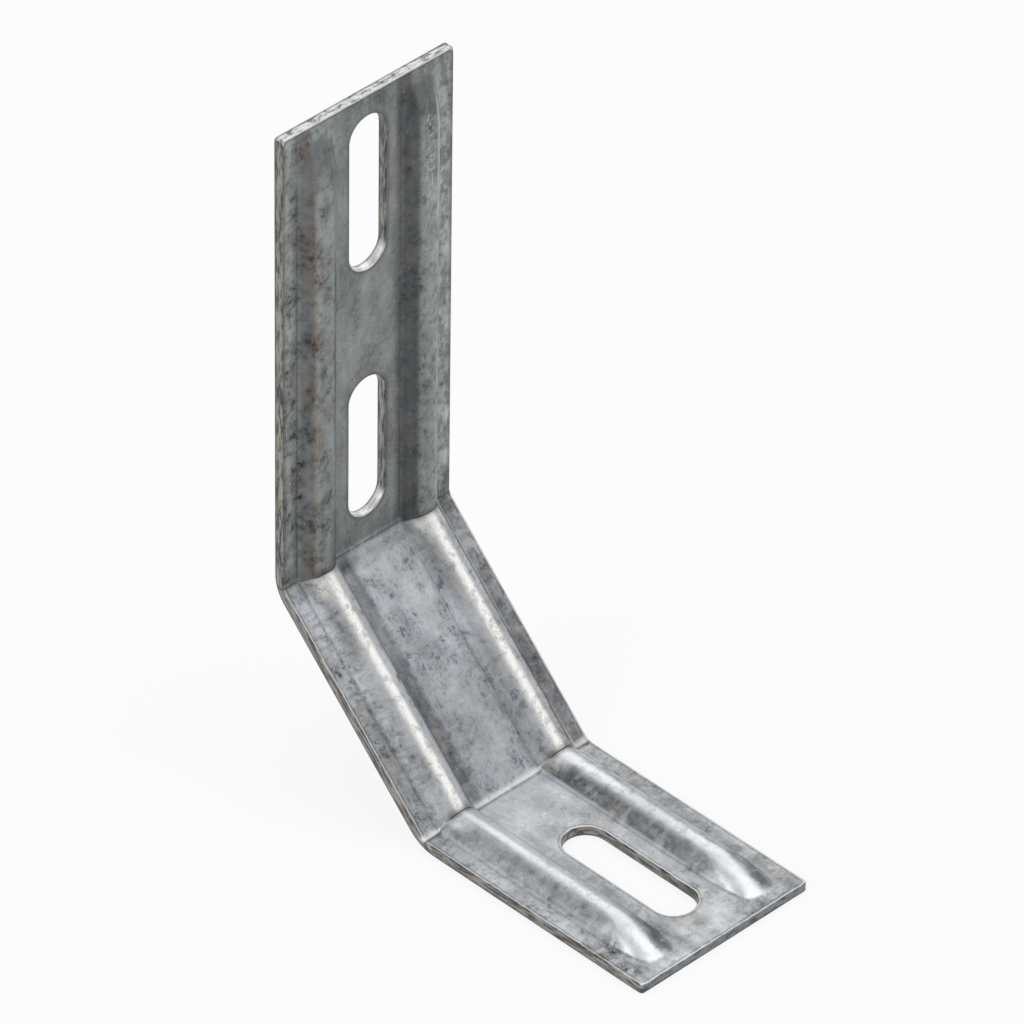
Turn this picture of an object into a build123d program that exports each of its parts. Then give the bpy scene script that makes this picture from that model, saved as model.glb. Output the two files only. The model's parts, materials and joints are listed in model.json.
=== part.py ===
from build123d import *
from math import acos, cos, degrees, radians, sin
import os

# Cladding bracket: one steel strip pressed into a wall leg, a sloping middle leg and a foot.
# Two ribs are pressed into the inside of the bends. They run through both bends, meet there in
# mitred creases, fade out in a blunt nose at each end, and leave grooves in the back.
# The wall leg has two slots and the foot has one.
#
# Millimetres. X runs across the strip, +Z up the wall leg, and the foot points to -Y.
# The origin is the centre of the upper wall slot, on the back face that lies on the wall.

# Strip
strip_width = 40.0
sheet_thickness = 2.0
strip_corner_radius = 0.6

# Legs: outside lengths, from the strip's end to the sharp outer corner of the bend
wall_leg_length = 96.0
middle_leg_length = 51.0
foot_length = 54.0

# Bends: the upper one sets the slope, the lower one brings the foot square to the wall leg
wall_to_foot_angle = 90.0
upper_bend_angle = 45.0
bend_inner_radius = 2.5
bend_outer_radius = 8.0

# Slots on the centre line: a margin runs from the slot to the strip's end, and for the lower
# wall slot to the upper bend's outer corner
slot_width = 8.5
upper_slot_length = 32.0
upper_slot_margin = 4.5
lower_slot_length = 29.5
lower_slot_margin = 6.75
foot_slot_length = 29.5
foot_slot_margin = 8.25

# Ribs: width and height are seen on the inner face, and a margin is the flat beyond a nose
rib_width = 8.7
rib_height = 2.8
rib_foot_radius = 0.4
rib_top_margin = 2.0
rib_tip_margin = 2.6
rib_runout_radius = 30.0
groove_lip_radius = 1.5

# Overrun of the cutting shapes past the faces that they cut
overrun = 1.0

# A rib is a round arch, and its groove is concentric, so the wall keeps its thickness.
# Each rib runs midway between the slots and the strip's edge.
rib_outer_radius = ((rib_width / 2) ** 2 + rib_height**2) / (2 * rib_height)
groove_radius = rib_outer_radius - sheet_thickness
rib_axis_depth = sheet_thickness + rib_height - rib_outer_radius
rib_reach = sheet_thickness + rib_height + overrun
rib_offset = (strip_width + slot_width) / 4

# Side view of the back face, as (Y, Z): directions of the legs, ends and sharp corners
slope = radians(upper_bend_angle)
foot_turn = radians(wall_to_foot_angle)
wall_run = Vector(0, -1)
middle_run = Vector(-sin(slope), -cos(slope))
foot_run = Vector(-sin(foot_turn), -cos(foot_turn))

back_top = Vector(0, upper_slot_margin + upper_slot_length / 2)
back_upper_corner = back_top + wall_run * wall_leg_length
back_lower_corner = back_upper_corner + middle_run * middle_leg_length
back_tip = back_lower_corner + foot_run * foot_length

upper_slot_centre = back_top + wall_run * (upper_slot_margin + upper_slot_length / 2)
lower_slot_centre = back_upper_corner - wall_run * (lower_slot_margin + lower_slot_length / 2)
foot_slot_centre = back_tip - foot_run * (foot_slot_margin + foot_slot_length / 2)


def inward(run):
    """Direction from the back face to the inner face of a leg that runs along run."""
    return Vector(run.Y, -run.X)


def mitre(corner, run_in, run_out, depth):
    """Corner of the line that lies this far in front of the back face."""
    normal_in = inward(run_in)
    normal_out = inward(run_out)
    return corner + (normal_in + normal_out) * (depth / (1 + normal_in.dot(normal_out)))


def side_line(depth):
    """Top, two corners and tip of the line that lies this far in front of the back face."""
    return [
        back_top + inward(wall_run) * depth,
        mitre(back_upper_corner, wall_run, middle_run, depth),
        mitre(back_lower_corner, middle_run, foot_run, depth),
        back_tip + inward(foot_run) * depth,
    ]


def in_plane(*points):
    """The points as coordinates of the side-view plane."""
    return [(point.X, point.Y) for point in points]


def leg_plane(point, run):
    """Plane at a point of the back face: its normal points inward and its Y up the strip."""
    normal = inward(run)
    return Plane((0, point.X, point.Y), x_dir=(1, 0, 0), z_dir=(0, normal.X, normal.Y))


def nearest_corners(corners, points):
    """The corner of an outline that lies nearest to each point."""
    return [corners.sort_by_distance(point)[0] for point in points]


# Line of the arches' centres: straight along the legs and mitred at the bends. At each end it
# turns towards the back, on an arc that sinks the crown below the inner face and a little on.
runout_angle = acos(1 - rib_height / rib_runout_radius)
runout_length = rib_runout_radius * sin(runout_angle)
sink_angle = degrees(acos(1 - (rib_height + overrun) / rib_runout_radius))
sink_radius = rib_runout_radius - rib_outer_radius

axis_top, axis_upper_corner, axis_lower_corner, axis_tip = side_line(rib_axis_depth)
axis_start = axis_top + wall_run * (rib_top_margin + runout_length)
axis_end = axis_tip - foot_run * (rib_tip_margin + runout_length)
start_centre = axis_start - inward(wall_run) * sink_radius
end_centre = axis_end - inward(foot_run) * sink_radius
end_direction = 180 - wall_to_foot_angle

with BuildLine(Plane.YZ) as rib_axis:
    Polyline(*in_plane(axis_start, axis_upper_corner, axis_lower_corner, axis_end))
    CenterArc(*in_plane(start_centre), sink_radius, 180, -sink_angle)
    CenterArc(*in_plane(end_centre), sink_radius, end_direction, sink_angle)


def swept_bars(radius):
    """Two round bars along the ribs' centre line, mitred at the bends."""
    path = rib_axis.wire()
    with BuildPart() as bars:
        with BuildSketch(Plane(path @ 0, z_dir=path % 0)):
            with Locations((0, -rib_offset), (0, rib_offset)):
                Circle(radius)
        sweep(path=path, transition=Transition.RIGHT)
    return bars.part


# Ribs: the outer bars, kept from the middle of the sheet inwards
with BuildPart() as ribs:
    add(swept_bars(rib_outer_radius))
    with BuildSketch(Plane.YZ):
        with BuildLine():
            Polyline(*side_line(sheet_thickness / 2), *reversed(side_line(rib_reach)), close=True)
        make_face()
    extrude(amount=strip_width / 2, both=True, mode=Mode.INTERSECT)

# Strip: bent sheet, then ribs, grooves and slots
with BuildPart() as bracket_strip:
    with BuildSketch(Plane.YZ) as side_view:
        with BuildLine():
            Polyline(*side_line(0), *reversed(side_line(sheet_thickness)), close=True)
        make_face()
        inner_corners = side_line(sheet_thickness)[1:3]
        outer_corners = side_line(0)[1:3]
        fillet(nearest_corners(side_view.vertices(), inner_corners), bend_inner_radius)
        fillet(nearest_corners(side_view.vertices(), outer_corners), bend_outer_radius)
    extrude(amount=strip_width / 2, both=True)

    top_end = bracket_strip.faces().sort_by(Axis.Z)[-1]
    tip_end = bracket_strip.faces().sort_by(Axis.Y)[0]
    for end in (top_end, tip_end):
        fillet(end.edges().sort_by(SortBy.LENGTH)[:2], strip_corner_radius)

    add(ribs.part)
    fillet(bracket_strip.edges(Select.NEW), rib_foot_radius)

    add(swept_bars(groove_radius), mode=Mode.SUBTRACT)
    fillet(bracket_strip.edges(Select.NEW), groove_lip_radius)

    with BuildSketch(leg_plane(upper_slot_centre, wall_run)):
        SlotOverall(upper_slot_length, slot_width, rotation=90)
    with BuildSketch(leg_plane(lower_slot_centre, wall_run)):
        SlotOverall(lower_slot_length, slot_width, rotation=90)
    with BuildSketch(leg_plane(foot_slot_centre, foot_run)):
        SlotOverall(foot_slot_length, slot_width, rotation=90)
    extrude(amount=sheet_thickness + overrun, both=True, mode=Mode.SUBTRACT)

bracket_strip.part.label = "bracket_strip"
os.makedirs("parts", exist_ok=True)
export_step(bracket_strip.part, "parts/bracket_strip.step")
print(f"bracket_strip: {bracket_strip.part.volume:.0f} mm3, {bracket_strip.part.bounding_box()}")
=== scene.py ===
import json
import math

import bmesh
import bpy
import numpy as np
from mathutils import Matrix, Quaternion, Vector


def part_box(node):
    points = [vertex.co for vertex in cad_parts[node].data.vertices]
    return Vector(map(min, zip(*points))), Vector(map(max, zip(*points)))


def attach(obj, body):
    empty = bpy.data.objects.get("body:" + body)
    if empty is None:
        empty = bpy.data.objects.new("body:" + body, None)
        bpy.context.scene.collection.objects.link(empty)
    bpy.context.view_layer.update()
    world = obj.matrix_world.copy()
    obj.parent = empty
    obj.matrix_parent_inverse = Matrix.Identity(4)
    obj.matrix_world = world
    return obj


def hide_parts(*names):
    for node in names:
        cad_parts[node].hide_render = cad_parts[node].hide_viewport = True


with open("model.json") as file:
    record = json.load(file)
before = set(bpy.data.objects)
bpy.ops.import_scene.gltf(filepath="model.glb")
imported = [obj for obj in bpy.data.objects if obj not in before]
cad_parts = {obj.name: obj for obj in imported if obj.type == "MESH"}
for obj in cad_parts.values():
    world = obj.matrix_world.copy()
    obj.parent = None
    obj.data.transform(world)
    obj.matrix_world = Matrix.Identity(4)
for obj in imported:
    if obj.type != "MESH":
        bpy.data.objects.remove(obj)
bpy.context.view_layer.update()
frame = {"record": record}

mm = 0.001

# Sizes of the strip, in metres: the outside ones come from the solid, the slots from its mounts
NODE = "bracket_strip"
low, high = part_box(NODE)
mounts = {mount["name"]: mount for mount in frame["record"]["mounts"]}

half_width = (high.x - low.x) / 2
thickness = 2.0 * mm
middle_length = 51.0 * mm
bend_angle = math.radians(45)
inner_bend_radius = 2.5 * mm
outer_bend_radius = 8.0 * mm
crease_radius = 0.3 * mm
crease_fade = 0.45 * mm
corner_radius = 0.6 * mm
corner_reach = 1.5 * mm
front_rim_radius = 0.32 * mm
back_rim_radius = 0.18 * mm

rib_offset = 12.125 * mm
rib_width = 8.7 * mm
rib_height = 2.8 * mm
rib_foot_radius = 0.5 * mm
groove_lip_radius = 1.5 * mm
runout_radius = 30.0 * mm
rib_top_margin = 2.0 * mm
rib_tip_margin = 2.6 * mm
nose_blend = 0.12 * mm
nose_taper = 0.15

rib_radius = ((rib_width / 2) ** 2 + rib_height**2) / (2 * rib_height)
groove_radius = rib_radius - thickness
axis_depth = thickness + rib_height - rib_radius
runout_length = math.sqrt(runout_radius**2 - (runout_radius - rib_height) ** 2)
sink_radius = runout_radius - rib_radius

# Mesh density: steps between rows, and counts of rows, columns and rings
row_step = 0.6 * mm
lead_rows = 6
bend_rows = 8
rim_steps = 4
flange_columns = 5
rib_columns = 33
block_columns = 7
slot_rings = 4
wall_rings = 3

# A rib's reach across the strip, and the flat blocks that hold the slots
rib_margin = 0.45 * mm
rib_outer_reach = rib_offset + rib_width / 2 + rib_margin
rib_inner_reach = rib_offset - rib_width / 2 - rib_margin
block_half_width = 6.0 * mm
block_margin = 2.0 * mm
block_slack = 0.1 * mm
foot_lead = 8.0 * mm

# Side view as (y, z): sharp outer corners of the bends, and outside lengths of the end legs
back_y = high.y
foot_z = low.z
upper_corner = np.array((back_y, foot_z + middle_length * math.cos(bend_angle)))
lower_corner = np.array((back_y - middle_length * math.sin(bend_angle), foot_z))
wall_length = high.z - upper_corner[1]
foot_length = lower_corner[0] - low.y
half_bend_tan = math.tan(bend_angle / 2)


def run(turn):
    """Direction down the strip, in side view, after it has turned this far from the wall."""
    return np.array((-math.sin(turn), -math.cos(turn)))


def inward(turn):
    """Direction from the back face to the inner face."""
    return np.array((-math.cos(turn), math.sin(turn)))


def rim_swing():
    """Angles round a rounded edge, from the cut wall to the face."""
    return np.radians(np.linspace(90, 0, rim_steps + 1))


def between(start, end, step):
    """Even places after the start, up to and with the end."""
    return np.linspace(start, end, max(round((end - start) / step), 1) + 1)[1:]


class Side:
    """One face of the sheet: how far it lies from the back, its arches, bends and rims."""

    def __init__(self, depth, arch_radius, foot_radius, bend_radius, rim_radius, outward):
        self.depth = depth
        self.arch_radius = arch_radius
        self.foot_radius = foot_radius
        self.bend_radius = bend_radius
        self.rim_radius = rim_radius
        self.outward = outward
        self.half_arch = math.sqrt(arch_radius**2 - (arch_radius - rib_height) ** 2)

    def arch_height(self, x, past=0.0):
        """Height of the ribs, or grooves, over the face, this far past the run-out's start."""
        past = np.clip(past, 0, runout_radius / 2)
        reach = np.sqrt((sink_radius + self.arch_radius) ** 2 - past**2)
        crown = axis_depth - self.depth - sink_radius + reach
        crown = (crown + np.sqrt(crown**2 + nose_blend**2)) / 2
        half = self.half_arch * (crown / rib_height) ** nose_taper
        radius = (half**2 + crown**2) / (2 * crown)
        across = np.abs(np.abs(x) - rib_offset)
        centre = crown - radius
        joined = radius + self.foot_radius
        foot_centre = np.sqrt(joined**2 - (self.foot_radius - centre) ** 2)
        on_arch = centre + np.sqrt(np.maximum(radius**2 - across**2, 0))
        from_foot = np.clip(foot_centre - across, 0, self.foot_radius)
        on_foot = self.foot_radius - np.sqrt(self.foot_radius**2 - from_foot**2)
        return np.where(across < foot_centre * radius / joined, on_arch, on_foot)

    def rim_drop(self, inset):
        """How far the face has sunk, this far in from a cut edge."""
        left = np.clip(self.rim_radius - inset, 0, None)
        return self.outward * (self.rim_radius - np.sqrt(self.rim_radius**2 - left**2))

    def columns(self):
        """Places of the mesh's columns across the strip."""
        edge = half_width - self.rim_radius * (1 - np.sin(rim_swing()))
        flange = np.linspace(edge[-1], rib_outer_reach, flange_columns + 1)[1:]
        rib = np.linspace(rib_outer_reach, rib_inner_reach, rib_columns)[1:]
        beside_slot = (rib_inner_reach + block_half_width) / 2
        block = np.linspace(block_half_width, 0, block_columns)
        right = np.concatenate((edge, flange, rib, [beside_slot], block))
        return np.concatenate((-right[:-1], right[::-1]))

    def with_rim(self, rows):
        """Rows of an end leg, with those that round off the strip's end."""
        return np.concatenate((self.rim_radius * (1 - np.sin(rim_swing())), rows[2:]))


front = Side(thickness, rib_radius, rib_foot_radius, inner_bend_radius, front_rim_radius, 1)
back = Side(0.0, groove_radius, groove_lip_radius, outer_bend_radius, back_rim_radius, -1)


class Leg:
    """A leg at an end of the strip; places on it are counted from that end."""

    def __init__(self, end, turn, away):
        self.end = np.array(end)
        self.turn = turn
        self.away = away * run(turn)

    def from_end(self, points):
        """Distance of side-view points from the strip's end."""
        return (points - self.end) @ self.away

    def points(self, along, depth):
        """Side-view points this far from the end and this far from the back face."""
        depth = np.broadcast_to(depth, np.shape(along))
        return self.end + along[..., None] * self.away + depth[..., None] * inward(self.turn)


wall = Leg((back_y, high.z), 0.0, 1)
foot = Leg((low.y, foot_z), math.pi / 2, -1)


class Slot:
    """A slot and the flat block of sheet round it."""

    def __init__(self, mount, leg):
        self.leg = leg
        self.centre = float(leg.from_end(np.array(mount["pos_m"][1:])))
        self.radius = mount["dims"]["hole_r_mm"] * mm
        self.half_straight = mount["dims"]["slot_length_mm"] * mm / 2 - self.radius
        self.half_block = self.half_straight + self.radius + block_margin

    def middle(self, along):
        """Nearest place on the slot's middle line."""
        return np.clip(along, self.centre - self.half_straight, self.centre + self.half_straight)


upper_slot = Slot(mounts["upper_wall_slot"], wall)
lower_slot = Slot(mounts["lower_wall_slot"], wall)
foot_slot = Slot(mounts["foot_slot"], foot)
slots = (upper_slot, lower_slot, foot_slot)


def leg_rows(leg, beyond):
    """Rows of an end leg, from the strip's end to this far beyond its last slot's block."""
    rows = [0.0, front_rim_radius]
    for slot in (slot for slot in slots if slot.leg is leg):
        for place in (slot.centre - slot.half_block, slot.centre + slot.half_block):
            rows += [*between(rows[-1], place, row_step)]
    if beyond:
        rows += [*between(rows[-1], rows[-1] + beyond, row_step)]
    return np.array(rows)


wall_rows = leg_rows(wall, 0.0)
foot_rows = leg_rows(foot, foot_lead)


def round_corner(x, along):
    """Pulls places near a corner of the strip in behind its rounded outline."""
    across = np.clip(corner_reach - half_width + np.abs(x), 0, None)
    down = np.clip(corner_reach - along, 0, None)
    inside = (across > 0) & (down > 0)
    # Outside the corner there is no direction, so both divisors are kept off nothing
    size = np.where(inside, np.hypot(across, down), 1)
    direction = np.stack((across, down), -1) / size[..., None]
    to_square = corner_reach / np.maximum(direction.max(-1), 0.5)
    centre = corner_reach - corner_radius
    towards = direction.sum(-1) * centre
    to_arc = towards + np.sqrt(np.maximum(towards**2 - 2 * centre**2 + corner_radius**2, 0))
    on_arc = inside & (to_arc * direction.min(-1) >= centre)
    pull = np.where(on_arc, 1 - to_arc / to_square, 0)
    keep = 1 - pull * np.maximum(across, down) / corner_reach
    new_x = np.sign(x) * (half_width - corner_reach + across * keep)
    return np.where(inside, new_x, x), np.where(inside, corner_reach - down * keep, along)


def face_points(side):
    """Points of one face, and their depth, as rows down the strip and columns across it."""
    x = side.columns()
    height = side.arch_height(x)
    inset = half_width - np.abs(x)
    depth = side.depth + height - side.rim_drop(inset)
    bend_radius = crease_radius + (side.bend_radius - crease_radius) * np.exp(-height / crease_fade)
    tangent = (depth + bend_radius) * half_bend_tan

    def with_depth(x, side_view, depth):
        """Points from their side view, with their depth as a fourth number."""
        shape = side_view.shape[:-1]
        flat = [np.broadcast_to(values, shape)[..., None] for values in (x, depth)]
        return np.concatenate((flat[0], side_view, flat[1]), -1)

    def end_leg(leg, rows, margin):
        flat_x, along = np.meshgrid(x, side.with_rim(rows))
        height = side.arch_height(flat_x, margin + runout_length - along)
        drop = side.rim_drop(np.minimum(half_width - np.abs(flat_x), along))
        flat_x, along = round_corner(flat_x, along)
        depth = side.depth + height - drop
        return with_depth(flat_x, leg.points(along, depth), depth)

    def lead(leg, last, length):
        share = np.linspace(0, 1, lead_rows + 1)[1:, None]
        return with_depth(x, leg.points(last + share * (length - tangent - last), depth), depth)

    def bend(corner, turn):
        reach = (depth + bend_radius) / math.cos(bend_angle / 2)
        centre = corner + reach[:, None] * inward(turn + bend_angle / 2)
        turns = np.linspace(turn, turn + bend_angle, bend_rows + 1)[1:-1]
        rows = [centre - bend_radius[:, None] * inward(row_turn) for row_turn in turns]
        return with_depth(x, np.stack(rows), depth)

    share = np.linspace(0, 1, round(middle_length / row_step))[:, None]
    along = tangent + share * (middle_length - 2 * tangent)
    middle_leg = upper_corner + along[..., None] * run(bend_angle)
    middle_leg = middle_leg + depth[:, None] * inward(bend_angle)
    rows = np.concatenate(
        (
            end_leg(wall, wall_rows, rib_top_margin),
            lead(wall, wall_rows[-1], wall_length),
            bend(upper_corner, 0.0),
            with_depth(x, middle_leg, depth),
            bend(lower_corner, bend_angle),
            lead(foot, foot_rows[-1], foot_length)[::-1],
            end_leg(foot, foot_rows, rib_tip_margin)[::-1],
        )
    )
    return rows[..., :3], rows[..., 3]


def around(grid):
    """What lies round the border of a grid, in order."""
    return np.concatenate((grid[0, :-1], grid[:-1, -1], grid[-1, :0:-1], grid[:0:-1, 0]))


class Sheet:
    """The strip's mesh, and each vertex's place: x, length down the flat sheet, depth, rise."""

    def __init__(self):
        self.points = np.empty((0, 3))
        self.places = np.empty((0, 4))
        self.quads = np.empty((0, 4), int)

    def add(self, points, places):
        """Adds vertices and gives their numbers, in the shape that they came in."""
        first = len(self.points)
        self.points = np.concatenate((self.points, points.reshape(-1, 3)))
        self.places = np.concatenate((self.places, places.reshape(-1, 4)))
        return np.arange(first, len(self.points)).reshape(points.shape[:-1])

    def fill(self, grid, keep):
        """Adds the quads of a grid of vertices, in the cells to keep."""
        corners = (grid[:-1, :-1], grid[1:, :-1], grid[1:, 1:], grid[:-1, 1:])
        self.quads = np.concatenate((self.quads, np.stack(corners, -1)[keep]))

    def join(self, loop, inner_loop):
        """Adds the quads between two closed loops of vertices."""
        corners = (loop, np.roll(loop, -1), np.roll(inner_loop, -1), inner_loop)
        self.quads = np.concatenate((self.quads, np.stack(corners, -1)))

    def wall(self, loop, far_loop):
        """Adds the cut wall between a loop of the front and the same loop of the back."""
        last = loop
        for step in range(1, wall_rings):
            share = step / wall_rings
            points = self.points[loop] * (1 - share) + self.points[far_loop] * share
            places = self.places[loop] * (1 - share) + self.places[far_loop] * share
            ring = self.add(points, places)
            self.join(last, ring)
            last = ring
        self.join(last, far_loop)


def block_cells(slot, points):
    """Window of the grid of a face that lies in the block round a slot."""
    along = slot.leg.from_end(points[:, 0, 1:])
    facing = np.abs((points[:, 0, 1:] - slot.leg.end) @ inward(slot.leg.turn)) < 2 * thickness
    in_rows = facing & (np.abs(along - slot.centre) < slot.half_block + block_slack)
    in_columns = np.abs(points[0, :, 0]) < block_half_width + block_slack
    rows = np.flatnonzero(in_rows)
    columns = np.flatnonzero(in_columns)
    return slice(rows[0], rows[-1] + 1), slice(columns[0], columns[-1] + 1)


def cut_slot(sheet, side, slot, border, length_at):
    """Rings of vertices from the border of a block to the slot's wall; gives the last one."""
    border_x = sheet.points[border, 0]
    border_along = slot.leg.from_end(sheet.points[border, 1:])
    middle = np.stack((np.zeros_like(border_x), slot.middle(border_along)), -1)
    outer = np.stack((border_x, border_along), -1)
    direction = outer - middle
    direction /= np.linalg.norm(direction, axis=-1, keepdims=True)
    rim_outer = middle + direction * (slot.radius + side.rim_radius)
    rings = []
    for step in range(1, slot_rings):
        rings.append((outer + (rim_outer - outer) * step / slot_rings, 0.0))
    for swing in rim_swing()[::-1]:
        reach = slot.radius + side.rim_radius * (1 - math.sin(swing))
        drop = side.outward * side.rim_radius * (1 - math.cos(swing))
        rings.append((middle + direction * reach, drop))
    last = border
    for flat, drop in rings:
        depth = side.depth - drop
        side_view = slot.leg.points(flat[:, 1], depth)
        points = np.column_stack((flat[:, 0], side_view))
        length = length_at(slot, flat[:, 1])
        level = np.full(len(flat), depth)
        places = np.column_stack((flat[:, 0], length, level, level * 0))
        ring = sheet.add(points, places)
        sheet.join(last, ring)
        last = ring
    return last


def build_sheet():
    """Both faces, the slots and every cut wall, as one closed mesh, and the flat length."""
    sheet = Sheet()
    faces = [face_points(side) for side in (front, back)]
    middle_line = faces[0][0][:, faces[0][0].shape[1] // 2, 1:]
    steps = np.linalg.norm(np.diff(middle_line, axis=0), axis=1)
    lengths = np.concatenate(([0.0], np.cumsum(steps)))

    def length_at(slot, along):
        return along if slot.leg is wall else lengths[-1] - along

    loops = []
    for side, (points, depth) in zip((front, back), faces):
        length = np.broadcast_to(lengths[:, None], depth.shape)
        rise = np.maximum(depth - side.depth, 0)
        grid = sheet.add(points, np.stack((points[..., 0], length, depth, rise), -1))
        keep = np.ones((grid.shape[0] - 1, grid.shape[1] - 1), bool)
        side_loops = [around(grid)]
        for slot in slots:
            rows, columns = block_cells(slot, points)
            keep[rows.start : rows.stop - 1, columns.start : columns.stop - 1] = False
            border = around(grid[rows, columns])
            side_loops.append(cut_slot(sheet, side, slot, border, length_at))
        sheet.fill(grid, keep)
        loops.append(side_loops)
    for front_loop, back_loop in zip(*loops):
        sheet.wall(front_loop, back_loop)
    return sheet, lengths[-1]


def inset_from_cuts(places, flat_length):
    """Distance of places on the flat sheet from the nearest cut edge."""
    x, length = places[:, 0], places[:, 1]
    inset = np.minimum.reduce((half_width - np.abs(x), length, flat_length - length))
    for slot in slots:
        along = length if slot.leg is wall else flat_length - length
        inset = np.minimum(inset, np.hypot(x, along - slot.middle(along)) - slot.radius)
    return np.maximum(inset, 0)


def make_bracket():
    """The bracket as a Blender object with the attributes that its finish reads."""
    sheet, flat_length = build_sheet()
    used, quads = np.unique(sheet.quads, return_inverse=True)
    mesh = bpy.data.meshes.new("pressed_strip")
    mesh.from_pydata(sheet.points[used].tolist(), [], quads.reshape(-1, 4).tolist())
    shell = bmesh.new()
    shell.from_mesh(mesh)
    bmesh.ops.recalc_face_normals(shell, faces=shell.faces)
    shell.to_mesh(mesh)
    shell.free()
    mesh.polygons.foreach_set("use_smooth", [True] * len(mesh.polygons))
    places = sheet.places[used]
    place = mesh.attributes.new("place", "FLOAT_VECTOR", "POINT")
    place.data.foreach_set("vector", (places[:, :3] / mm).ravel())
    for name, values in (("rise", places[:, 3]), ("inset", inset_from_cuts(places, flat_length))):
        attribute = mesh.attributes.new(name, "FLOAT", "POINT")
        attribute.data.foreach_set("value", values / mm)
    bracket = bpy.data.objects.new("pressed_strip", mesh)
    bpy.context.scene.collection.objects.link(bracket)
    return bracket


class Socket:
    """A shader socket; arithmetic on it adds Math nodes."""

    def __init__(self, finish, socket):
        self.finish = finish
        self.socket = socket

    def __add__(self, other):
        return self.finish.maths("ADD", self, other)

    def __sub__(self, other):
        return self.finish.maths("SUBTRACT", self, other)

    def __rsub__(self, other):
        return self.finish.maths("SUBTRACT", other, self)

    def __mul__(self, other):
        return self.finish.maths("MULTIPLY", self, other)

    __radd__ = __add__
    __rmul__ = __mul__


class Finish:
    """A material, or the world, built from nodes."""

    def __init__(self, owner):
        owner.use_nodes = True
        self.owner = owner
        self.tree = owner.node_tree
        self.tree.nodes.clear()

    def node(self, kind, settings, sockets, output=0):
        """Adds a node: its settings first, then the values or links of its sockets."""
        node = self.tree.nodes.new(kind)
        for name, value in settings.items():
            setattr(node, name, value)
        for name, value in sockets.items():
            if isinstance(value, Socket):
                self.tree.links.new(value.socket, node.inputs[name])
            else:
                node.inputs[name].default_value = value
        return Socket(self, node.outputs[output]) if node.outputs else None

    def maths(self, operation, *values):
        """Adds a Math node on one or two values."""
        return self.node("ShaderNodeMath", {"operation": operation}, dict(enumerate(values)))


# Camera at the photograph's viewing angle, with a long lens
camera_azimuth = math.radians(-44.927)
camera_elevation = math.radians(38.05)
camera_roll = math.radians(0.776)
camera_distance = 1.98362
camera_aim = Vector((-3.349, -40.715, -44.648)) * mm
lens_mm = 412.8
sensor_mm = 36.0
sight_length = 20.0

camera = bpy.data.objects.new("camera", bpy.data.cameras.new("camera"))
camera.data.lens = lens_mm
camera.data.sensor_width = sensor_mm
camera.data.clip_end = sight_length
flat_share = math.cos(camera_elevation)
towards_camera = Vector(
    (
        math.sin(camera_azimuth) * flat_share,
        -math.cos(camera_azimuth) * flat_share,
        math.sin(camera_elevation),
    )
)
camera.location = camera_aim + towards_camera * camera_distance
camera.rotation_mode = "QUATERNION"
upright = (-towards_camera).to_track_quat("-Z", "Y")
camera.rotation_quaternion = upright @ Quaternion((0, 0, 1), camera_roll)
bpy.context.scene.collection.objects.link(camera)
bpy.context.scene.camera = camera

# Floor of pale paper under the foot
floor_half = 3.0
paper_colour = (0.86, 0.86, 0.86, 1)
white_share = 0.85

corners = ((-1, -1), (1, -1), (1, 1), (-1, 1))
floor_mesh = bpy.data.meshes.new("floor")
floor_points = [(x * floor_half, y * floor_half, foot_z) for x, y in corners]
floor_mesh.from_pydata(floor_points, [], [(0, 1, 2, 3)])
floor = bpy.data.objects.new("floor", floor_mesh)
bpy.context.scene.collection.objects.link(floor)

paper = Finish(bpy.data.materials.new("pale_paper"))
matt = paper.node("ShaderNodeBsdfDiffuse", {}, {"Color": paper_colour})
white = paper.node("ShaderNodeEmission", {}, {"Color": (1, 1, 1, 1), "Strength": 1.0})
# Rays that show the floor itself see it nearly white; the rest meet matt paper
seen_rays = ("Is Camera Ray", "Is Glossy Ray", "Is Transmission Ray")
seen = sum(paper.node("ShaderNodeLightPath", {}, {}, ray) for ray in seen_rays)
paper_surface = paper.node("ShaderNodeMixShader", {}, {0: seen * white_share, 1: matt, 2: white})
paper.node("ShaderNodeOutputMaterial", {}, {"Surface": paper_surface})
floor_mesh.materials.append(paper.owner)

# Plain soft studio light: a pale world and five softboxes
studio_glow = 0.46

world = bpy.data.worlds.new("studio")
bpy.context.scene.world = world
studio = Finish(world)
glow = studio.node("ShaderNodeBackground", {}, {"Color": (1, 1, 1, 1), "Strength": studio_glow})
studio.node("ShaderNodeOutputWorld", {}, {"Surface": glow})


def softbox(name, direction, distance, width, height, brightness):
    """A rectangular lamp that faces the bracket, as bright at any size."""
    lamp = bpy.data.objects.new(name, bpy.data.lights.new(name, "AREA"))
    lamp.data.shape = "RECTANGLE"
    lamp.data.size = width
    lamp.data.size_y = height
    lamp.data.energy = brightness * math.pi * width * height
    towards = Vector(direction).normalized()
    lamp.location = camera_aim + towards * distance
    lamp.rotation_mode = "QUATERNION"
    lamp.rotation_quaternion = towards.to_track_quat("Z", "Y")
    bpy.context.scene.collection.objects.link(lamp)


softbox("key_softbox", (-0.72, 0.13, 0.65), 1.5, 0.7, 0.7, 2.9)
softbox("left_softbox", (-0.85, 0.10, 0.30), 1.5, 1.0, 0.7, 2.3)
softbox("top_softbox", (0.30, -0.05, 0.90), 1.5, 1.0, 1.0, 1.9)
softbox("back_softbox", (0.55, 0.60, 0.60), 1.6, 1.2, 1.0, 0.85)
softbox("front_softbox", (0.62, -0.62, 0.48), 1.6, 1.2, 1.0, 0.9)

bpy.context.scene.view_settings.view_transform = "Standard"

bracket = make_bracket()
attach(bracket, "root")
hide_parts(NODE)

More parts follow.
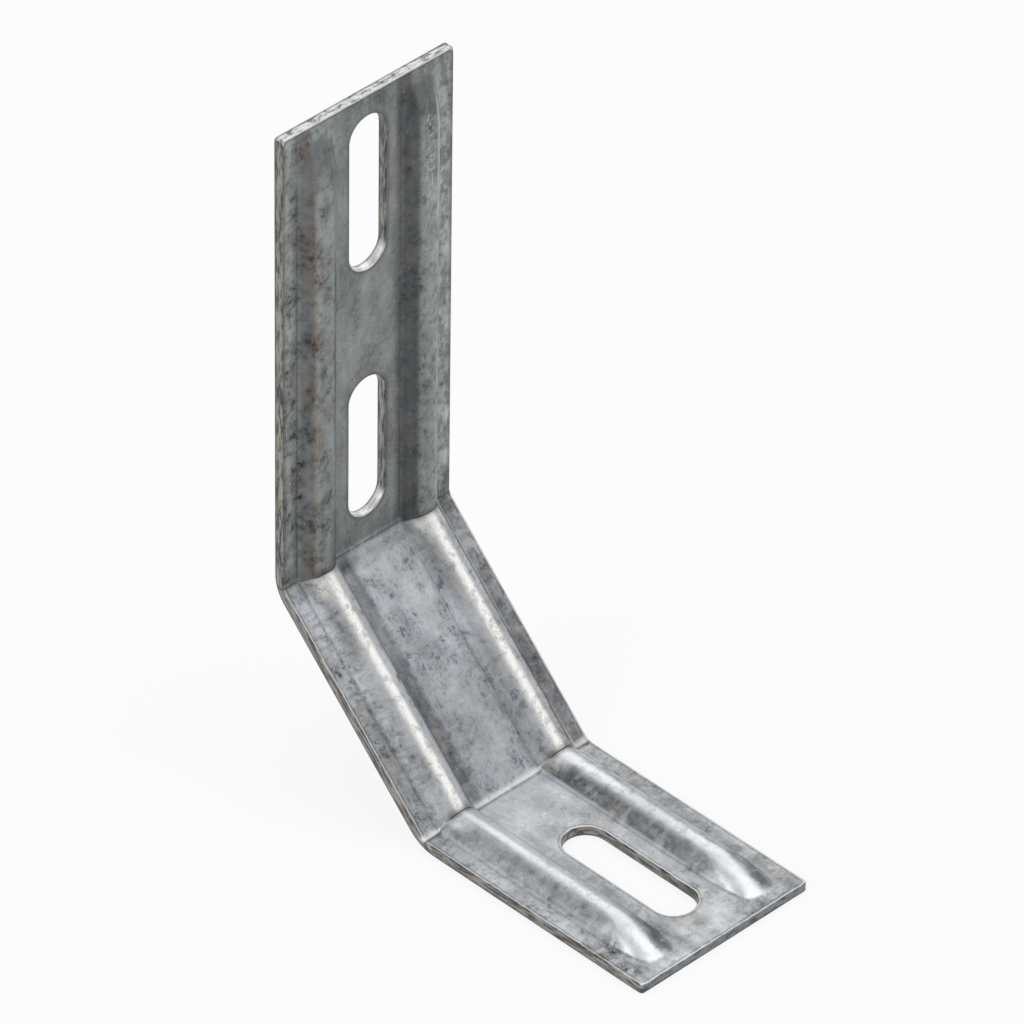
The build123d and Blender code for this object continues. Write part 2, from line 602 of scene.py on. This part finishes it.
# Finish: hot-dip galvanised steel, dulled by age. Its lengths are millimetres on the flat sheet.
steel = Finish(bpy.data.materials.new("galvanised_steel"))


def attribute(name, output):
    """A value that the mesh carries."""
    return steel.node("ShaderNodeAttribute", {"attribute_name": name}, {}, output)


def part(vector, axis):
    """One coordinate of a vector."""
    return steel.node("ShaderNodeSeparateXYZ", {}, {"Vector": vector}, axis)


def size_of(value):
    """A value without its sign."""
    return steel.maths("ABSOLUTE", value)


def at_most_one(value):
    """A value that stops at 1."""
    return steel.maths("MINIMUM", value, 1.0)


def rising(value, start, full):
    """0 where the value is at or before the start, 1 from full on, and smooth between."""
    settings = {"interpolation_type": "SMOOTHSTEP"}
    sockets = {"Value": value, "From Min": start, "From Max": full}
    return steel.node("ShaderNodeMapRange", settings, sockets)


def band(value, start, full, fading, end):
    """1 from full to fading, and 0 before the start and after the end."""
    return rising(value, start, full) * (1 - rising(value, fading, end))


def peak(value, centre, half):
    """1 at a value and 0 this far either side of it."""
    return 1 - rising(size_of(value - centre), 0.0, half)


def down(start, full):
    """0 above a stretch of the flat sheet, 1 below it, and smooth along it."""
    return rising(length, start, full)


def near(centre, half):
    """1 at a place down the flat sheet and 0 this far above and below it."""
    return peak(length, centre, half)


def noise(across, along, through, detail=3.0, roughness=0.6):
    """Soft noise on the flat sheet, with grains of this size in millimetres."""
    scale = (1 / across, 1 / along, 1 / through)
    grain = steel.node("ShaderNodeVectorMath", {"operation": "MULTIPLY"}, {0: place, 1: scale})
    sockets = {"Vector": grain, "Scale": 1.0, "Detail": detail, "Roughness": roughness}
    return steel.node("ShaderNodeTexNoise", {}, sockets)


def swing(grain, strength):
    """A noise as a change either way from nothing."""
    return (grain - 0.5) * strength


def mix(factor, first, second):
    """A colour between two colours; 0, 6 and 7 are a colour mix's sockets, and 2 its result."""
    return steel.node("ShaderNodeMix", {"data_type": "RGBA"}, {0: factor, 6: first, 7: second}, 2)


def scaled(colour, factor):
    """A colour made lighter or darker."""
    return steel.node("ShaderNodeVectorMath", {"operation": "SCALE"}, {0: colour, "Scale": factor})


# What the mesh carries: the place on the flat sheet, the rise over the face, the way to a cut
place = attribute("place", "Vector")
rise = attribute("rise", "Fac")
inset = attribute("inset", "Fac")
x = part(place, "X")
length = part(place, "Y")
depth = part(place, "Z")

# Places down the flat sheet: the bends' creases, flat and over the ribs, and the legs' ends
upper_crease = 95.12
lower_crease = 145.05
upper_mitre = 95.1
lower_mitre = 144.53
wall_end = (93.5, 96.5)
foot_start = (143.5, 146.5)
wall_slot_bottoms = (36.4, 89.2)
tip_edge = 197.4

# Places across it, from the middle: the slots' rims, the web's edges, the ribs' crests and feet
slot_rim = (4.5, 5.0)
web_edge = (7.0, 8.5)
flange_edge = (12.0, 15.0)
rib_crest = rib_offset / mm
rib_foot = 4.55

# The legs, the faces and their parts; side is -1 on the left and 1 on the right
on_wall = 1 - down(*wall_end)
on_foot = down(*foot_start)
on_middle = 1 - on_wall - on_foot
on_front = rising(depth - rise, 0.6, 1.4)
below_bend = down(99.0, 116.0)
near_tip = down(180.0, 188.0)
off_web = rising(size_of(x), *web_edge)
on_flange = rising(size_of(x), *flange_edge)
in_slot = 1 - rising(size_of(x), *slot_rim)
side = steel.maths("SIGN", x)
off_rib = x - side * rib_crest
right_of_rib = rising(off_rib, -0.5, 0.5)
left_of_rib = 1 - right_of_rib

# Grains of the finish
clouds = noise(5.0, 8.0, 5.0)
patches = noise(2.2, 2.5, 2.2, 4.0)
mottle = noise(0.95, 1.05, 0.95, 4.0, 0.7)
specks = noise(0.34, 0.38, 0.34, 2.0)
streaks = noise(1.3, 12.0, 1.3, 4.0)
edge_grain = noise(1.5, 4.0, 0.6, 4.0, 0.7)

# Zinc: bluer on the sloping leg, lighter on the foot by painted light, and darker, greenish on the
# wall leg by painted shade
middle_zinc = (0.420, 0.445, 0.475, 1)
lit_foot_zinc = (0.480, 0.505, 0.530, 1)
shaded_wall_zinc = (0.240, 0.260, 0.257, 1)
back_zinc = (0.345, 0.365, 0.380, 1)

# Weathering and rust
oxide_blue = (0.115, 0.135, 0.170, 1)
pale_smear = (0.66, 0.66, 0.645, 1)
warm_zinc = (0.400, 0.375, 0.335, 1)
# Darker copy of the warm zinc for the wall leg: painted shade
shaded_wall_warm_zinc = (0.200, 0.190, 0.165, 1)
chatter_brown = (0.19, 0.18, 0.165, 1)
blot_grey = (0.085, 0.095, 0.100, 1)
stain_brown = (0.165, 0.135, 0.115, 1)
rust_brown = (0.33, 0.215, 0.145, 1)
rust_grey = (0.38, 0.34, 0.28, 1)

# Burnished crowns with painted highlights, and fine marks: painted shade and highlight lines at the
# ribs' feet, painted highlights on the wall ribs' shoulders, flecks and scratches
middle_burnish_highlight = (0.79, 0.78, 0.755, 1)
foot_burnish_highlight = (0.76, 0.78, 0.80, 1)
foot_shade_line = (0.06, 0.06, 0.06, 1)
foot_highlight_line = (0.66, 0.64, 0.59, 1)
shoulder_highlight_grey = (0.52, 0.54, 0.55, 1)
fleck_grey = (0.72, 0.73, 0.73, 1)
scratch_grey = (0.80, 0.80, 0.80, 1)

# Sheared edges, with painted highlights and shade
arris_shade = (0.07, 0.07, 0.07, 1)
arris_highlight = (0.80, 0.80, 0.79, 1)
wall_arris_shade = (0.075, 0.070, 0.065, 1)
sheared_dark = (0.070, 0.065, 0.058, 1)
sheared_light = (0.310, 0.295, 0.270, 1)
lit_top_dark = (0.17, 0.18, 0.19, 1)
lit_top_light = (0.66, 0.675, 0.69, 1)
slot_floor_highlight = (0.93, 0.93, 0.92, 1)
slot_end_shade = (0.045, 0.042, 0.040, 1)
tip_dark = (0.060, 0.072, 0.085, 1)
tip_light = (0.21, 0.23, 0.25, 1)
back_roll_grey = (0.070, 0.075, 0.085, 1)

# Bends: a painted highlight band and painted shade lines
bend_highlight_pale = (0.745, 0.745, 0.725, 1)
crease_shade = (0.06, 0.055, 0.05, 1)
mitre_shade = (0.035, 0.031, 0.028, 1)


def flanks():
    """The steep flanks of the ribs, up to where the crowns begin."""
    top = 1.9 - right_of_rib * (1 - on_wall) * 0.6 + left_of_rib * on_foot * 0.25
    return band(rise, 0.15, 0.8, top, top + 0.6)


def zinc_tone_and_painted_light():
    """How light the zinc is beside the plain colour of its leg: random tone, with painted light on
    the wall leg's right flange, on the sloping leg's left flanks and right of its crowns, and right
    of the crowns on the foot.
    """
    tone = 1 + swing(clouds, 1.6) + swing(patches, 1.0 + on_middle * 1.1)
    tone += swing(mottle, 1.2) + swing(specks, 0.85) + swing(streaks, 0.3 + on_wall * 0.3)
    tone += (swing(patches, 1.3) + swing(mottle, 0.8)) * on_flange * (1 - near_tip * 0.8)
    wall_contrast = on_wall * (0.4 + on_front * 0.6)
    tone += (swing(patches, 1.4) + swing(mottle, 0.8)) * wall_contrast * off_web
    tone += swing(clouds, 1.6) * wall_contrast * on_flange
    tone += (swing(patches, 0.6) + swing(clouds, 1.2)) * near_tip
    # Painted light on the wall leg's right flange
    tone += rising(x, 15.5, 16.5) * on_wall * 0.44 - (1 - off_web) * on_wall * 0.08
    web_shade = rising(x + (length - 150.0) * 0.6, -3.0, 6.0)
    foot_tone = (1 - on_flange) * (0.34 - web_shade * 0.32) - 0.05
    left_edge = 1 - rising(x, -16.0, -14.5)
    tone += on_foot * (foot_tone - left_edge * 0.10)
    # Painted light on the sloping leg's left flanks
    tone += left_of_rib * rising(rise, 0.1, 0.8) * on_middle * (0.12 + below_bend * 0.16)
    # Painted highlight right of the crowns on the sloping leg
    flank_highlight = peak(off_rib, 1.2, 1.2) * 0.3 + peak(off_rib, 2.6, 1.6) * (0.55 - side * 0.45)
    tone += flank_highlight * on_middle * 0.9
    # Painted light right of the crowns on the foot, stopping before the noses
    before_nose = 1 - down(174.0, 183.0)
    return tone + peak(off_rib, 2.2, 1.6) * on_foot * before_nose * (0.35 - side * 0.25)


def scuffs_and_painted_shade(flank):
    """Share of the flanks' light taken by painted shade, set by leg and side, and by the rubbed
    scuffs of the press dies.
    """
    # Painted shade on the flanks, by leg and side
    flank_darkening = 0.04 + right_of_rib * (0.10 + on_middle * (0.07 + side * 0.13)) + on_wall * 0.10
    flank_darkening += left_of_rib * on_middle * ((1 - below_bend) * 0.16 + 0.05 + side * 0.05)
    # Painted shade on the foot's left flanks, darker on the right rib
    foot_flank_shade = (0.29 + side * 0.19) * (1 - right_of_rib * 0.5) * (1 - down(160.0, 172.0) * 0.2)
    flank_darkening += foot_flank_shade * on_foot
    rubbed = rising(mottle * 0.62 + specks * 0.38, 0.41, 0.57)
    flank_darkening += rubbed * (0.12 + on_foot * 0.20 + on_wall * 0.13)
    return flank * flank_darkening * (1 - down(177.0, 184.0) * left_of_rib * 0.7)


def painted_shade_and_darkening():
    """Share of the light taken by painted shadows beside the ribs, painted shade by the upper bend
    and on the noses' far sides, and darkening down the lower sloping leg and near both ends.
    """
    beside_ribs = 1 - rising(rise, 0.3, 1.5)
    # Painted shadows that the ribs cast beside them on the sloping leg, the foot and the wall leg
    darkened = band(off_rib, 3.3, 4.9, 6.2, 7.8) * on_middle * (0.45 - side * 0.08)
    darkened *= 0.4 + streaks * 1.2
    darkened += peak(off_rib, 5.6, 2.2) * on_foot * (0.12 + down(150.0, 162.0) * 0.22)
    darkened += band(off_rib, -6.5, -4.2, -2.6, -1.5) * on_wall * (0.43 + side * 0.09)
    # Painted shade by the upper bend; darker down the lower sloping leg and near the top end
    darkened += near(97.2, 2.4) * beside_ribs * 0.32
    darkened += near(131.0, 15.0) * beside_ribs * 0.28
    darkened += (1 - down(1.5, 12.0)) * (0.12 + side * 0.13)
    # Painted shade on the noses' far sides; darker near the tip
    darkened += down(183.0, 187.0) * peak(off_rib, 2.1, 2.2) * rising(rise, 0.05, 0.3) * 0.38
    darkened += near_tip * (1 - rising(rise, 0.05, 0.4)) * 0.10
    return darkened * on_front * (0.3 + patches * 1.4)


def with_weathering(zinc):
    """Adds dark oxide, pale smears, warm patches, die chatter and blots on the right flange."""
    oxide = rising(mottle * 0.37 + patches * 0.48 + specks * 0.15, 0.480, 0.600)
    clustered = 0.10 + (1 - rising(clouds, 0.43, 0.57)) * 0.52
    oxide *= 0.34 + on_middle * clustered - near_tip * 0.12
    zinc = mix(oxide, zinc, oxide_blue)
    smears = rising(noise(3.2, 1.8, 3.2, 3.0, 0.5), 0.52, 0.66) * (on_foot + on_middle * 0.5)
    zinc = mix(smears * (0.30 + near_tip * 0.25), zinc, pale_smear)
    warmth = rising(noise(4.0, 6.0, 4.0), 0.48, 0.64)
    # On the wall leg the warm patches use the darker, painted-shade copy
    zinc = mix(warmth * 0.30, zinc, mix(on_wall, warm_zinc, shaded_wall_warm_zinc))
    chatter = rising(noise(3.0, 1.0, 3.0), 0.48, 0.62) * (on_middle + on_foot * 0.4)
    zinc = mix(chatter * rising(size_of(x), 13.2, 14.2) * 0.42, zinc, chatter_brown)
    blots = rising(noise(1.5, 3.0, 1.5, 4.0), 0.47, 0.59) * rising(x, 15.5, 17.0)
    return mix(blots * (0.55 - on_foot * 0.4), zinc, blot_grey)


def with_rust(zinc):
    """Adds the stain and the rust-brown streaks that run down the left rib of the wall leg."""
    stain = rising(noise(2.0, 7.0, 2.0), 0.38, 0.68) * peak(x, -14.8, 3.4)
    zinc = mix(stain * on_wall * 0.45, zinc, stain_brown)
    rust = rising(noise(0.5, 1.4, 0.5), 0.40, 0.58) * peak(x, -13.9, 1.0) * down(9.0, 18.0)
    return mix(rust * on_wall * 0.6, zinc, mix(rising(patches, 0.40, 0.60), rust_brown, rust_grey))


def noses_polish_and_highlight(nose_run):
    """The fronts of the noses on the foot, where the dies have polished them, with a painted
    highlight over them.
    """
    width = size_of(off_rib + nose_run * 2.2) - nose_run * 1.2
    width += swing(patches, 3.0) + swing(mottle, 2.0)
    return down(180.5, 184.0) * (1 - rising(width, 0.8, 1.8)) * rising(rise, 0.05, 0.3)


def highlights_below_bends():
    """Painted highlights on the crowns just below a bend, which shine over more of their width."""
    below = near(97.6, 4.2) * 1.3 + near(147.0, 3.6) * 1.2
    return below * rising(rise, 1.2, 2.2) * (1 - right_of_rib * 0.5)


def crowns_burnish_and_highlight(nose_run, nose_polish_and_highlight, crown_start_highlight):
    """How far the crowns and the fronts of the noses are burnished, with painted highlights: none
    on the wall leg, more right of the crowns, less along the middle of the foot.
    """
    crown = rising(rise, 2.48, 2.79) + rising(rise, 1.7, 2.5) * 0.22 + crown_start_highlight
    # Painted highlight right of the crowns
    crown += rising(rise, 1.7, 2.6) * right_of_rib * (0.30 - on_foot * side * 0.15)
    crown *= (1 - on_wall) * (1 - near(167.0, 15.0) * on_foot * 0.45)
    wear = rising(patches * 0.45 + mottle * 0.35 + specks * 0.20, 0.42, 0.58)
    wear -= on_foot * rising(clouds, 0.48, 0.60) * 0.35
    crown *= 0.42 - on_middle * 0.14 + wear * (0.56 + on_middle * 0.12)
    crown *= 1 - nose_run * right_of_rib * 0.8
    return at_most_one((crown + nose_polish_and_highlight * (0.70 + wear * 0.25)) * on_front)


def with_fine_marks(zinc):
    """Adds painted shade and highlight lines along the ribs' feet, painted highlights on the wall
    ribs' right shoulders, flecks near the top, and scratches.
    """
    foot_line = peak(size_of(off_rib), rib_foot, 0.25) * rising(streaks, 0.35, 0.5)
    foot_line *= down(8.0, 13.0)
    zinc = mix(foot_line * on_wall * 0.6, zinc, foot_shade_line)
    zinc = mix(foot_line * on_middle * (0.40 + side * 0.25), zinc, foot_highlight_line)
    shoulder_highlight = band(off_rib, 1.6, 2.5, 4.0, 4.3) * rising(rise, 0.05, 0.25)
    shoulder_highlight *= 0.22 + side * 0.20 + (1 - down(22.0, 34.0)) * 0.3
    shoulder_highlight *= rising(streaks, 0.34, 0.54) * down(4.0, 10.0) * on_wall
    zinc = mix(shoulder_highlight, zinc, shoulder_highlight_grey)
    flecks = rising(noise(0.35, 0.9, 0.35, 2.0), 0.57, 0.64) * peak(x, 12.0, 1.6)
    flecks *= band(length, 5.0, 8.0, 15.0, 50.0)
    zinc = mix(flecks * 0.5, zinc, fleck_grey)
    scratches = rising(noise(0.16, 2.2, 0.16, 1.0), 0.76, 0.80)
    return mix(scratches * 0.6, zinc, scratch_grey)


def with_arris(zinc, torn_inset):
    """Adds the arris along every cut edge, a painted highlight that is dark on the wall leg's long
    edges, and the painted shade just inside it.
    """
    shade = peak(inset, 0.60, 0.30) * rising(mottle, 0.36, 0.52)
    zinc = mix(shade * 0.55, zinc, arris_shade)
    # The slots' far rims keep more of the painted highlight
    lit_rim = rising(x, -1.5, 1.5) * (1 - down(185.0, 189.0))
    arris = peak(torn_inset, 0.27, 0.20) * (0.75 - in_slot * on_foot * (1 - lit_rim) * 0.5)
    long_edge = on_wall * down(0.7, 1.2)
    return mix(arris, zinc, mix(long_edge, arris_highlight, wall_arris_shade))


def sheared_edge():
    """Colour of the cut edges: blotched, painted lighter on the top edge and the wall slots'
    bottoms, painted shade at the foot slot's far end, and dark at the tip.
    """
    blots = rising(edge_grain, 0.38, 0.60)
    edge = mix(blots, sheared_dark, sheared_light)
    end_grain = rising(noise(2.6, 2.6, 0.7, 4.0, 0.7), 0.40, 0.54)
    edge = mix(1 - down(0.25, 0.35), edge, mix(end_grain, lit_top_dark, lit_top_light))
    slot_bottom = in_slot * sum(near(bottom, 4.0) for bottom in wall_slot_bottoms)
    edge = mix(at_most_one(slot_bottom * 2.0) * (0.7 + blots * 0.3), edge, slot_floor_highlight)
    foot_slot_end = in_slot * band(length, 180.0, 186.0, 191.0, 193.0)
    edge = mix(foot_slot_end * 0.7, edge, slot_end_shade)
    edge = mix(down(tip_edge, tip_edge + 0.2) * 0.8, edge, mix(end_grain, tip_dark, tip_light))
    back_roll = 1 - rising(depth, 0.30, 0.60)
    return mix(back_roll * 0.6, edge, back_roll_grey)


def with_creases(colour):
    """Adds painted shade lines across the bends and over the ribs' mitres, and a painted highlight
    band along the lower bend.
    """
    bend_highlight = near(144.3, 0.95) * 0.62 + near(145.9, 0.7) * 0.35
    bend_highlight *= (1 - rising(rise, 0.1, 0.5)) * rising(patches, 0.30, 0.50)
    colour = mix(bend_highlight * on_front, colour, bend_highlight_pale)
    dashes = rising(noise(0.9, 0.9, 0.9, 2.0), 0.30, 0.46)
    dashes *= 0.75 - (1 - off_web) * on_foot * 0.4
    for crease in (upper_crease, lower_crease):
        colour = mix(near(crease, 0.42) * dashes, colour, crease_shade)
    mitres = near(upper_mitre, 2.3) + near(lower_mitre, 2.4)
    mitres *= rising(rise, 1.3, 2.1) * rising(off_rib, -3.4, -1.8) * on_front
    return mix(mitres, colour, mitre_shade)


# The layers, from the bare zinc out
flank = flanks()
# Each leg's zinc, lighter on the foot and darker on the wall leg by painted light and shade
zinc = mix(on_foot, middle_zinc, lit_foot_zinc)
zinc = mix(on_wall, zinc, shaded_wall_zinc)
zinc = mix(on_front, back_zinc, zinc)
zinc = scaled(zinc, zinc_tone_and_painted_light() * (1 - scuffs_and_painted_shade(flank)) * (1 - painted_shade_and_darkening()))
zinc = with_rust(with_weathering(zinc))

nose_run = down(182.0, 193.0)
nose_polish_and_highlight = noses_polish_and_highlight(nose_run)
crown_start_highlight = highlights_below_bends()
burnish_and_highlight = crowns_burnish_and_highlight(nose_run, nose_polish_and_highlight, crown_start_highlight)
zinc = mix(burnish_and_highlight, zinc, mix(on_foot, middle_burnish_highlight, foot_burnish_highlight))
zinc = with_fine_marks(zinc)

torn_inset = inset + swing(edge_grain, 0.4)
cut = 1 - rising(torn_inset, 0.08, 0.22)
colour = with_creases(mix(cut, with_arris(zinc, torn_inset), sheared_edge()))

dullness = 0.35 + swing(patches, 0.3) + flank * 0.05 + on_wall * 0.04 - burnish_and_highlight * 0.06
metal_share = 0.5 + burnish_and_highlight * (0.4 - nose_polish_and_highlight * 0.45 - crown_start_highlight * 0.45) + cut * 0.2
relief = mottle * 0.5 + specks * 0.25 + streaks * 0.4 + patches * 0.5
relief_depth = 0.07 * mm
relief_strength = 0.6
bump = steel.node(
    "ShaderNodeBump",
    {},
    {"Strength": relief_strength, "Distance": relief_depth, "Height": relief},
)
surface = steel.node(
    "ShaderNodeBsdfPrincipled",
    {},
    {"Base Color": colour, "Metallic": metal_share, "Roughness": dullness, "Normal": bump},
)
steel.node("ShaderNodeOutputMaterial", {}, {"Surface": surface})
bracket.data.materials.append(steel.owner)
